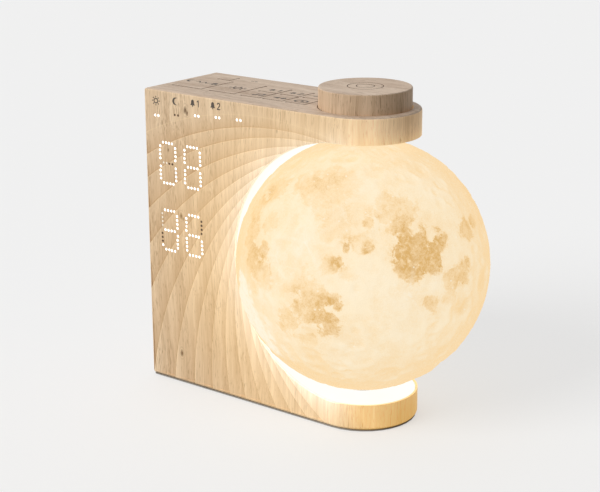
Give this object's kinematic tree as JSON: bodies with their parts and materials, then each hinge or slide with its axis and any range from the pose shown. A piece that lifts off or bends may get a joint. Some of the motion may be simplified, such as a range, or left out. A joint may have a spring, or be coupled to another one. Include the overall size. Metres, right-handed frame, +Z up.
{
  "type": "sunrise alarm clock",
  "caption": "Sunrise alarm clock: a glowing moon between the two arms of an oak-look body with dot display, flexing top keys and a knob that turns and presses.",
  "frame": {"origin": "on the floor under the knob's axis, in the middle of the foot pad's width", "axes": "+X from the flat left end towards the arms' round ends, +Y from the front with the display to the rear cover, +Z up"},
  "size_m": [0.2098, 0.1446, 0.1914],
  "materials": {
    "oak": "matt light oak look, upright grain",
    "oak_top": "matt light oak look, grain along the length",
    "moon": "translucent moulded moon relief, lit from inside",
    "diffuser": "opal light guide, lit",
    "white_plastic": "satin",
    "black_plastic": "satin",
    "rubber": "matt foot pad",
    "board": "solder mask",
    "steel": "bright zinc",
    "magnet": "plated magnet",
    "brass": "turned",
    "paper": "pressed cone paper",
    "ribbon": "flat cable"
  },
  "bodies": {
    "root": {"housing": "oak", "rear_cover": "oak", "base_pad": "rubber", "ring_diffuser": "diffuser", "light_frame": "white_plastic", "ring_led_strip": "white_plastic", "moon_shell": "moon", "moon_collar": "white_plastic", "collar_foot": "black_plastic", "moon_led_board": "white_plastic", "digit_mask": "black_plastic", "indicator_mask": "black_plastic", "display_board": "board", "key_board": "board", "main_board": "board", "power_inlet": "steel", "speaker_frame": "black_plastic", "speaker_magnet": "magnet", "speaker_cone": "paper", "cell_holder": "black_plastic", "coin_cell": "steel", "encoder_case": "steel", "encoder_nut": "brass", "encoder_board": "board", "cover_screw_1": "steel", "cover_screw_2": "steel", "cover_screw_3": "steel", "cover_screw_4": "steel", "cover_screw_5": "steel", "cover_screw_6": "steel", "board_screw_1": "steel", "board_screw_2": "steel", "display_screw_1": "steel", "display_screw_2": "steel", "key_board_screw_1": "steel", "key_board_screw_2": "steel", "collar_screw_1": "steel", "collar_screw_2": "steel", "display_ribbon": "ribbon", "key_ribbon": "ribbon", "encoder_ribbon": "ribbon", "moon_lead": "black_plastic", "speaker_lead": "black_plastic"},
    "knob_slider": {"encoder_plunger": "black_plastic"},
    "knob": {"knob": "oak_top", "encoder_shaft": "steel"},
    "key_front_left": {"key_front_left": "oak_top"},
    "key_rear_left": {"key_rear_left": "oak_top"},
    "key_front_middle": {"key_front_middle": "oak_top"},
    "key_rear_middle": {"key_rear_middle": "oak_top"},
    "key_front_right": {"key_front_right": "oak_top"},
    "key_rear_right": {"key_rear_right": "oak_top"},
    "key_mid": {"key_mid": "oak_top"},
    "key_wide": {"key_wide": "oak_top"},
    "key_corner": {"key_corner": "oak_top"}
  },
  "joints": [
    {"name": "knob_press", "type": "slide", "parent": "root", "child": "knob_slider", "axis": [0, 0, -1], "range_m": [0, 0.0008], "stiffness_N_per_m": 3000, "springref_m": -0.0004},
    {"name": "knob_turn", "type": "hinge", "parent": "knob_slider", "child": "knob", "pos_m": [0, 0, 0.18], "axis": [0, 0, 1], "continuous": true},
    {"name": "key_front_left_flex", "type": "hinge", "parent": "root", "child": "key_front_left", "pos_m": [-0.06895, -0.00915, 0.1788], "axis": [0.6834, 0.73, 0], "range_deg": [0, 4.5], "stiffness_Nm_per_rad": 0.2},
    {"name": "key_rear_left_flex", "type": "hinge", "parent": "root", "child": "key_rear_left", "pos_m": [-0.06895, 0.00615, 0.1788], "axis": [0.7151, 0.6991, 0], "range_deg": [0, 4.5], "stiffness_Nm_per_rad": 0.2},
    {"name": "key_front_middle_flex", "type": "hinge", "parent": "root", "child": "key_front_middle", "pos_m": [-0.05255, -0.00915, 0.1788], "axis": [0.6834, 0.73, 0], "range_deg": [0, 4.5], "stiffness_Nm_per_rad": 0.2},
    {"name": "key_rear_middle_flex", "type": "hinge", "parent": "root", "child": "key_rear_middle", "pos_m": [-0.05255, 0.00615, 0.1788], "axis": [0.7151, 0.6991, 0], "range_deg": [0, 4.5], "stiffness_Nm_per_rad": 0.2},
    {"name": "key_front_right_flex", "type": "hinge", "parent": "root", "child": "key_front_right", "pos_m": [-0.03615, -0.00915, 0.1788], "axis": [0.6834, 0.73, 0], "range_deg": [0, 4.5], "stiffness_Nm_per_rad": 0.2},
    {"name": "key_rear_right_flex", "type": "hinge", "parent": "root", "child": "key_rear_right", "pos_m": [-0.03615, 0.00615, 0.1788], "axis": [0.7151, 0.6991, 0], "range_deg": [0, 4.5], "stiffness_Nm_per_rad": 0.2},
    {"name": "key_mid_flex", "type": "hinge", "parent": "root", "child": "key_mid", "pos_m": [-0.09035, -0.0018, 0.1788], "axis": [0.5266, 0.8501, 0], "range_deg": [0, 3], "stiffness_Nm_per_rad": 0.4},
    {"name": "key_wide_flex", "type": "hinge", "parent": "root", "child": "key_wide", "pos_m": [-0.11749, -0.00235, 0.1788], "axis": [0.6274, 0.7787, 0], "range_deg": [0, 2.8], "stiffness_Nm_per_rad": 0.5},
    {"name": "key_corner_flex", "type": "hinge", "parent": "root", "child": "key_corner", "pos_m": [-0.11529, 0.0184, 0.1788], "axis": [0.7351, 0.6779, 0], "range_deg": [0, 5], "stiffness_Nm_per_rad": 0.12}
  ]
}
